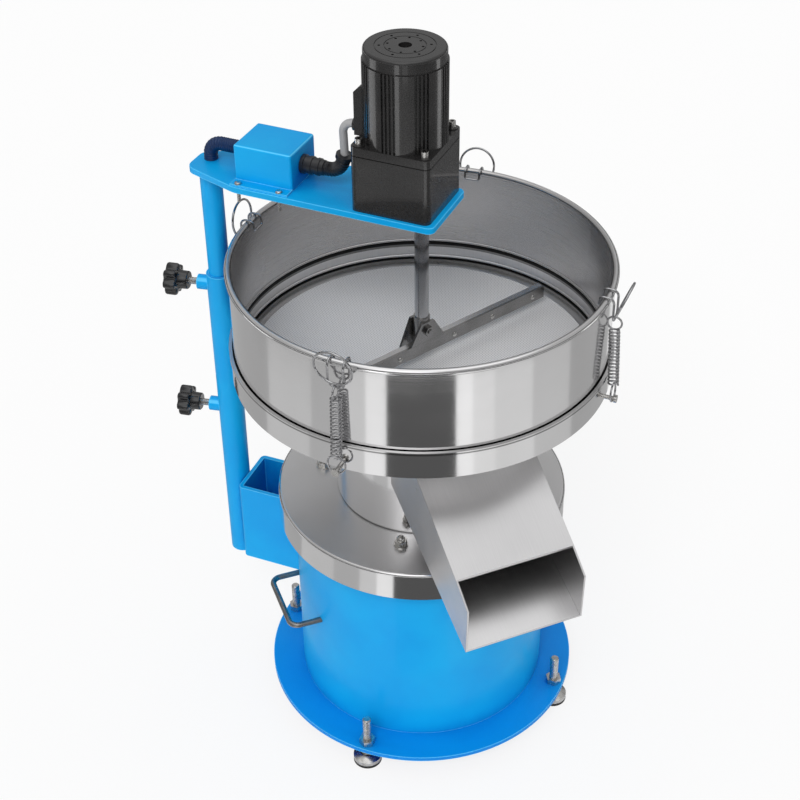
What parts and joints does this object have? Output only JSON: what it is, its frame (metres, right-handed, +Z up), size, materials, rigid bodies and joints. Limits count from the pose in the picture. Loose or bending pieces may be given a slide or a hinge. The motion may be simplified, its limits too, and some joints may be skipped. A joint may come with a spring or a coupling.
{
  "type": "round vibrating sieve with stirrer",
  "caption": "Round stainless sieve on a blue vibrating drum base, with a discharge chute, spring latches and a stirrer head on a sliding post.",
  "frame": {"origin": "on the floor under the sieve's axis, in the middle of the circle of feet", "axes": "+Z up; -Y the way the discharge chute points; the post stands between -X and +Y"},
  "size_m": [0.4643, 0.5102, 0.868],
  "materials": {
    "blue_paint": "gloss blue paint",
    "polished_steel": "polished stainless sheet",
    "satin_steel": "satin stainless sheet",
    "woven_mesh": "fine woven stainless wire",
    "spring_steel": "bright spring wire",
    "zinc_steel": "zinc plated",
    "handle_steel": "dark nickel plated",
    "black_rubber": "moulded rubber",
    "black_plastic": "moulded, glossy",
    "navy_plastic": "corrugated conduit",
    "conduit_black": "corrugated conduit",
    "grey_plastic": "lead sheath",
    "motor_black": "satin black"
  },
  "bodies": {
    "base": {"base_plate": "blue_paint", "levelling_feet": "zinc_steel", "foot_pads": "black_rubber", "foot_nuts": "zinc_steel", "base_drum": "blue_paint", "cover_disc": "polished_steel", "disc_nuts": "zinc_steel", "neck": "polished_steel", "sloping_floor": "satin_steel", "chute": "satin_steel", "bottom_pan": "polished_steel", "pan_cone": "polished_steel", "mesh_frame": "satin_steel", "screen_mesh": "woven_mesh", "mesh_gasket": "black_rubber", "frame_gasket": "black_rubber", "upper_frame": "polished_steel", "rim_bead": "polished_steel", "latch_hook_1": "spring_steel", "latch_hook_2": "spring_steel", "latch_hook_3": "spring_steel", "latch_hook_4": "spring_steel", "latch_springs": "spring_steel", "spring_screws": "zinc_steel", "handle_left": "handle_steel", "handle_right": "handle_steel", "post_bracket": "blue_paint", "post_sleeve": "blue_paint"},
    "head": {"post": "blue_paint", "arm_plate": "blue_paint", "junction_box": "blue_paint", "box_screws": "zinc_steel", "post_conduit": "navy_plastic", "motor_conduit": "conduit_black", "motor_lead": "grey_plastic", "gearbox": "motor_black", "motor_flange": "motor_black", "motor_body": "motor_black", "motor_cap": "motor_black", "terminal_box": "motor_black", "motor_screws": "zinc_steel"},
    "stirrer": {"stirrer_shaft": "polished_steel", "stirrer_hub": "satin_steel", "stirrer_blade": "satin_steel"},
    "upper_clamp": {"clamp_screw_upper": "zinc_steel", "clamp_knob_upper": "black_plastic"},
    "lower_clamp": {"clamp_screw_lower": "zinc_steel", "clamp_knob_lower": "black_plastic"}
  },
  "joints": [
    {"name": "head_slide", "type": "slide", "parent": "base", "child": "head", "axis": [0, 0, 1], "range_m": [0, 0.15]},
    {"name": "stirrer_spin", "type": "hinge", "parent": "head", "child": "stirrer", "pos_m": [0, 0, 0.6], "axis": [0, 0, 1], "continuous": true},
    {"name": "upper_clamp_turn", "type": "hinge", "parent": "base", "child": "upper_clamp", "pos_m": [-0.22268, 0.20333, 0.534], "axis": [-0.8192, 0.5736, 0], "range_deg": [0, 270]},
    {"name": "lower_clamp_turn", "type": "hinge", "parent": "base", "child": "lower_clamp", "pos_m": [-0.22268, 0.20333, 0.356], "axis": [-0.8192, 0.5736, 0], "range_deg": [0, 270]}
  ]
}
